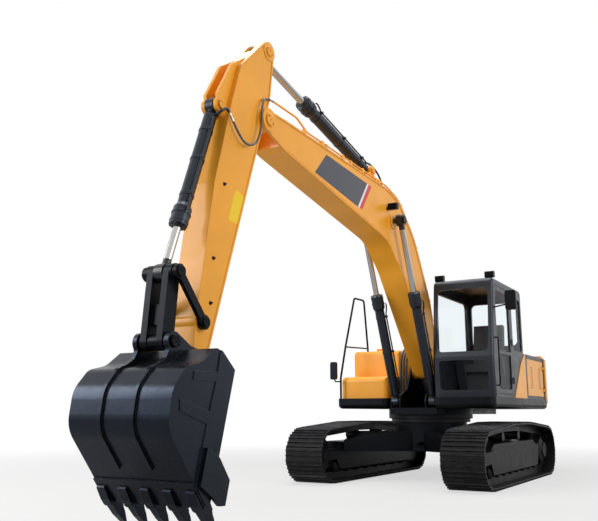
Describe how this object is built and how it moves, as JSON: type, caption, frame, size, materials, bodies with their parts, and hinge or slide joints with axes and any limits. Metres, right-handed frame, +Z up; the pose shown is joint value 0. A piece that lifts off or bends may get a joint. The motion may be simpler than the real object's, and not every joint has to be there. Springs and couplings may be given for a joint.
{
  "type": "crawler excavator",
  "caption": "Crawler excavator: tracks, swinging house with cab, boom, arm and bucket, each moved by hydraulic cylinders.",
  "frame": {"origin": "on the ground, on the axis about which the house swings", "axes": "+X forward over the idlers and along the boom, +Y to the cab's side, +Z up"},
  "size_m": [10.1261, 3.17, 5.1773],
  "materials": {
    "yellow_paint": "gloss amber yellow paint",
    "black_paint": "satin black paint",
    "dark_paint": "satin dark grey paint",
    "track_steel": "dark worn steel",
    "chrome_rod": "hard chrome",
    "window_glass": "clear safety glass",
    "seat_cloth": "dark seat cloth",
    "dark_plastic": "moulded plastic",
    "hose_rubber": "ribbed hose"
  },
  "bodies": {
    "undercarriage": {"centre_frame": "black_paint", "slewing_ring": "track_steel", "track_frame_left": "black_paint", "track_frame_right": "black_paint", "track_left": "track_steel", "track_right": "track_steel", "idler_left": "track_steel", "idler_right": "track_steel", "final_drive_left": "track_steel", "final_drive_right": "track_steel", "track_rollers": "track_steel", "carrier_rollers": "track_steel"},
    "house": {"house_frame": "black_paint", "counterweight": "yellow_paint", "engine": "black_paint", "engine_bay": "dark_paint", "fuel_tank": "yellow_paint", "front_box": "yellow_paint", "swing_motor": "black_paint", "valve_block": "black_paint", "cab_shell": "dark_paint", "cab_glass": "window_glass", "seat": "seat_cloth", "consoles": "dark_plastic", "side_cover": "yellow_paint", "handrails": "black_paint", "cab_lamps": "black_paint", "mirrors": "black_paint", "foot_hose_1": "hose_rubber", "foot_hose_2": "hose_rubber", "foot_hose_3": "hose_rubber"},
    "cab_door": {"cab_door": "dark_paint", "door_glass": "window_glass"},
    "bay_door_left": {"bay_door_left": "yellow_paint"},
    "bay_door_right": {"bay_door_right": "yellow_paint"},
    "engine_hood": {"engine_hood": "yellow_paint"},
    "boom": {"boom": "yellow_paint", "boom_pipes": "yellow_paint", "boom_lamp": "black_paint", "base_hose": "hose_rubber", "arm_hose": "hose_rubber"},
    "boom_barrels": {"boom_barrels": "black_paint"},
    "boom_rods": {"boom_rods": "chrome_rod"},
    "arm_barrel": {"arm_barrel": "black_paint"},
    "arm_rod": {"arm_rod": "chrome_rod"},
    "arm": {"arm": "yellow_paint"},
    "bucket_barrel": {"bucket_barrel": "black_paint", "bucket_port": "black_paint"},
    "bucket_rod": {"bucket_rod": "chrome_rod"},
    "guide_links": {"guide_links": "black_paint"},
    "bucket_link": {"bucket_link": "black_paint"},
    "bucket": {"bucket": "black_paint", "bucket_teeth": "track_steel", "side_cutters": "black_paint"}
  },
  "joints": [
    {"name": "swing", "type": "hinge", "parent": "undercarriage", "child": "house", "pos_m": [0, 0, 1], "axis": [0, 0, 1], "continuous": true},
    {"name": "boom_lift", "type": "hinge", "parent": "house", "child": "boom", "pos_m": [0.12, 0, 1.72], "axis": [0, -1, 0], "range_deg": [-69, 37]},
    {"name": "arm_crowd", "type": "hinge", "parent": "boom", "child": "arm", "pos_m": [5.23054, 0, 4.21258], "axis": [0, 1, 0], "range_deg": [-67, 52], "deforming": ["arm_hose"]},
    {"name": "bucket_curl", "type": "hinge", "parent": "arm", "child": "bucket", "pos_m": [6.3316, 0, 1.47361], "axis": [0, 1, 0], "range_deg": [-30, 130]},
    {"name": "boom_barrels_tilt", "type": "hinge", "parent": "house", "child": "boom_barrels", "pos_m": [0.67, 0, 1.2], "axis": [0, -1, 0], "range_deg": [-67.76, 36.34]},
    {"name": "boom_rods_slide", "type": "slide", "parent": "boom_barrels", "child": "boom_rods", "axis": [0.3935, 0, 0.9193], "range_m": [-0.8176, 0.4389]},
    {"name": "arm_barrel_tilt", "type": "hinge", "parent": "boom", "child": "arm_barrel", "pos_m": [2.30055, 0, 4.46912], "axis": [0, 1, 0], "range_deg": [-0.509, 0.4], "deforming": ["base_hose"]},
    {"name": "arm_rod_slide", "type": "slide", "parent": "arm_barrel", "child": "arm_rod", "axis": [0.9791, 0, 0.2034], "range_m": [-0.8628, 0.6699]},
    {"name": "bucket_barrel_tilt", "type": "hinge", "parent": "arm", "child": "bucket_barrel", "pos_m": [6.01061, 0, 4.12739], "axis": [0, 1, 0], "range_deg": [-0.89, 3.78]},
    {"name": "bucket_rod_slide", "type": "slide", "parent": "bucket_barrel", "child": "bucket_rod", "axis": [0.3438, 0, -0.9391], "range_m": [-0.2015, 0.8696]},
    {"name": "guide_links_turn", "type": "hinge", "parent": "arm", "child": "guide_links", "pos_m": [6.31146, 0, 1.84812], "axis": [0, 1, 0], "range_deg": [-22.54, 97.59]},
    {"name": "bucket_link_turn", "type": "hinge", "parent": "bucket", "child": "bucket_link", "pos_m": [6.75171, 0, 1.63806], "axis": [0, 1, 0], "range_deg": [-79.46, 18.35]},
    {"name": "cab_door_hinge", "type": "hinge", "parent": "house", "child": "cab_door", "pos_m": [-0.15, 1.347, 2], "axis": [0, 0, 1], "range_deg": [0, 160]},
    {"name": "bay_door_left_hinge", "type": "hinge", "parent": "house", "child": "bay_door_left", "pos_m": [-2.16, 1.356, 1.6], "axis": [0, 0, 1], "range_deg": [0, 110]},
    {"name": "bay_door_right_hinge", "type": "hinge", "parent": "house", "child": "bay_door_right", "pos_m": [-2.16, -1.356, 1.6], "axis": [0, 0, -1], "range_deg": [0, 110]},
    {"name": "engine_hood_hinge", "type": "hinge", "parent": "house", "child": "engine_hood", "pos_m": [-1.048, 0, 1.997], "axis": [0, 1, 0], "range_deg": [0, 60]}
  ],
  "couplings": [
    {"joint": "boom_barrels_tilt", "follows": "boom_lift", "ratio": 0.98176},
    {"joint": "boom_rods_slide", "follows": "boom_lift", "m_per_rad": 0.67805},
    {"joint": "arm_barrel_tilt", "follows": "arm_crowd", "ratio": 0.0073},
    {"joint": "arm_rod_slide", "follows": "arm_crowd", "m_per_rad": 0.73697},
    {"joint": "bucket_barrel_tilt", "follows": "bucket_curl", "ratio": 0.0289},
    {"joint": "bucket_rod_slide", "follows": "bucket_curl", "m_per_rad": 0.38283},
    {"joint": "guide_links_turn", "follows": "bucket_curl", "ratio": 0.75051},
    {"joint": "bucket_link_turn", "follows": "bucket_curl", "ratio": -0.61105}
  ]
}
